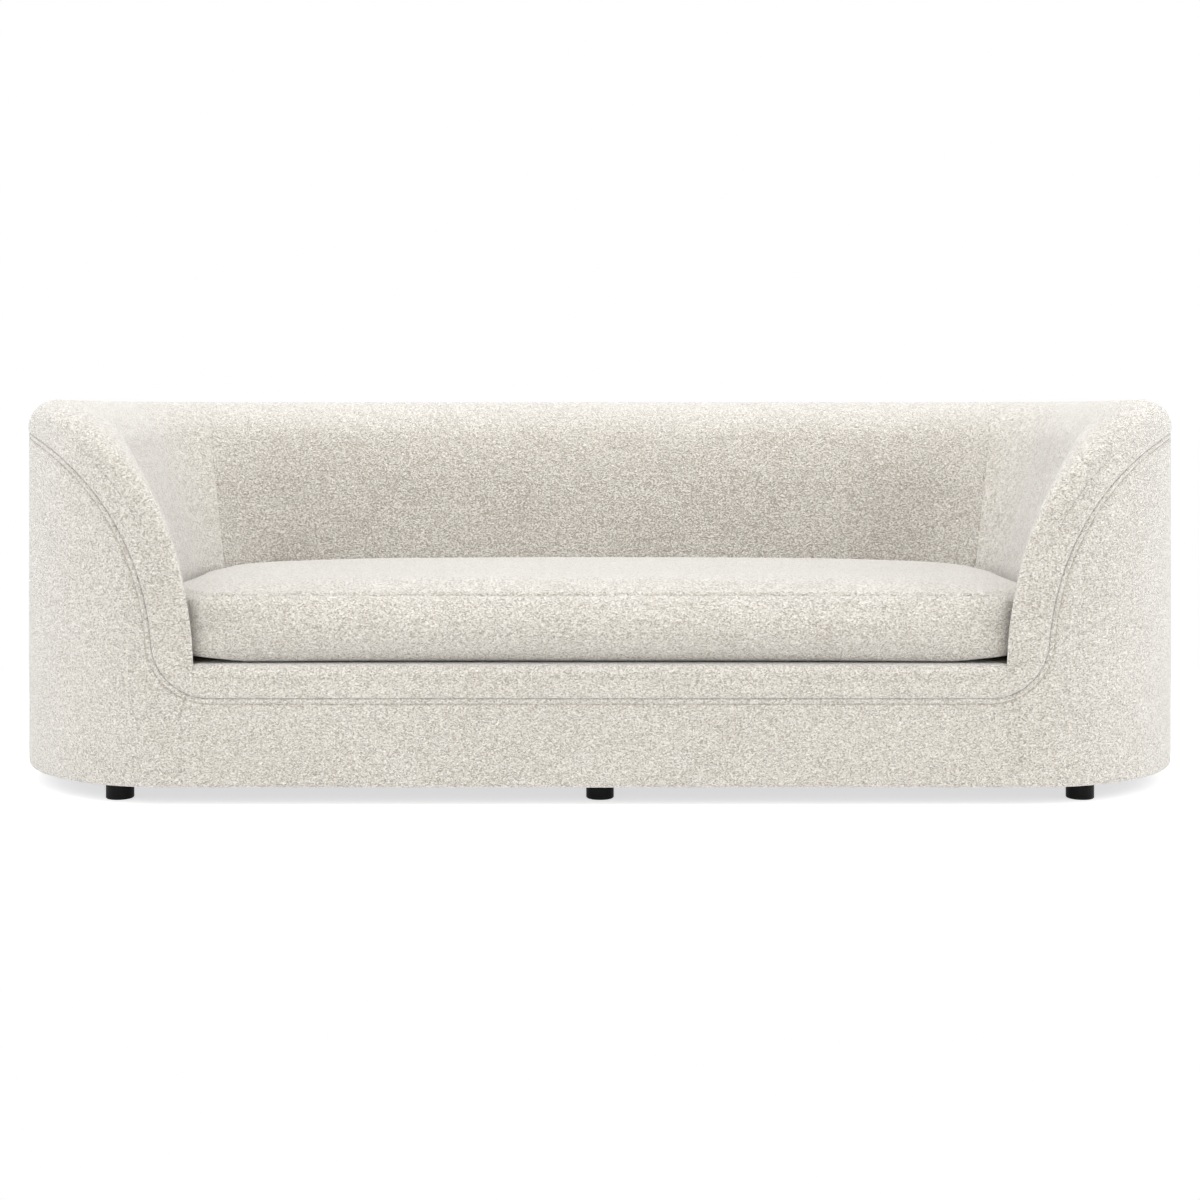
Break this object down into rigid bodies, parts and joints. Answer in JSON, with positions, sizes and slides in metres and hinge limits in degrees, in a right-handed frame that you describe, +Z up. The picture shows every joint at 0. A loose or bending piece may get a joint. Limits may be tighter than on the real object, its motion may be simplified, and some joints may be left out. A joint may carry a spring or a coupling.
{
  "type": "tub sofa",
  "caption": "Low upholstered tub sofa with rounded ends, a rolled rim that scoops down to the seat, one loose bench cushion and short round feet",
  "frame": {"origin": "On the floor under the middle of the sofa", "axes": "+X to the sitter's left along the length, +Y to the back, +Z up; the seat faces -Y"},
  "size_m": [2.286, 0.965, 0.75],
  "materials": {
    "boucle": "nubby looped cream cloth",
    "foam": "open-cell foam and wadding",
    "timber": "plain plywood and pine",
    "steel": "plain steel",
    "lining": "black lining cloth",
    "deck_cloth": "plain woven cloth",
    "foot_finish": "satin black",
    "zip_tape": "woven tape",
    "zip_metal": "plain metal"
  },
  "bodies": {
    "frame": {"arm_foam_left": "foam", "arm_foam_right": "foam", "arm_front_post_left": "timber", "arm_front_post_right": "timber", "arm_rear_post_left": "timber", "arm_rear_post_right": "timber", "back_board": "timber", "back_cover": "boucle", "back_end_post_left": "timber", "back_end_post_right": "timber", "back_foam": "foam", "back_middle_post": "timber", "base_post_front_left": "timber", "base_post_front_middle": "timber", "base_post_front_right": "timber", "base_post_rear_left": "timber", "base_post_rear_middle": "timber", "base_post_rear_right": "timber", "base_ring": "timber", "beam_screws": "steel", "cross_beam_left": "timber", "cross_beam_right": "timber", "deck_cover": "deck_cloth", "deck_pad": "foam", "dust_cover": "lining", "end_cover_left": "boucle", "end_cover_right": "boucle", "foot_bolts": "steel", "foot_front_left": "foot_finish", "foot_front_middle": "foot_finish", "foot_front_right": "foot_finish", "foot_rear_left": "foot_finish", "foot_rear_middle": "foot_finish", "foot_rear_right": "foot_finish", "front_board": "timber", "front_cover": "boucle", "front_wing_left": "timber", "front_wing_right": "timber", "inside_arm_cover_left": "boucle", "inside_arm_cover_right": "boucle", "inside_back_cover": "boucle", "rear_corner_left": "timber", "rear_corner_right": "timber", "seat_ring": "timber", "seat_springs": "steel", "side_board_left": "timber", "side_board_right": "timber", "sill_cover": "boucle", "sill_foam": "foam", "spring_clips": "steel", "spring_felt": "lining", "tee_nuts": "steel", "top_ring": "timber", "wing_rib_left": "timber", "wing_rib_right": "timber"},
    "seat_cushion": {"cushion_cover": "boucle", "cushion_core": "foam", "cushion_zip": "zip_tape"},
    "zip_slider": {"zip_slider": "zip_metal"}
  },
  "joints": [
    {"name": "cushion_lift", "type": "slide", "parent": "frame", "child": "seat_cushion", "axis": [0, 0, 1], "range_m": [0, 0.6]},
    {"name": "zip_travel", "type": "slide", "parent": "seat_cushion", "child": "zip_slider", "axis": [1, 0, 0], "range_m": [-0.59, 0.59]}
  ]
}
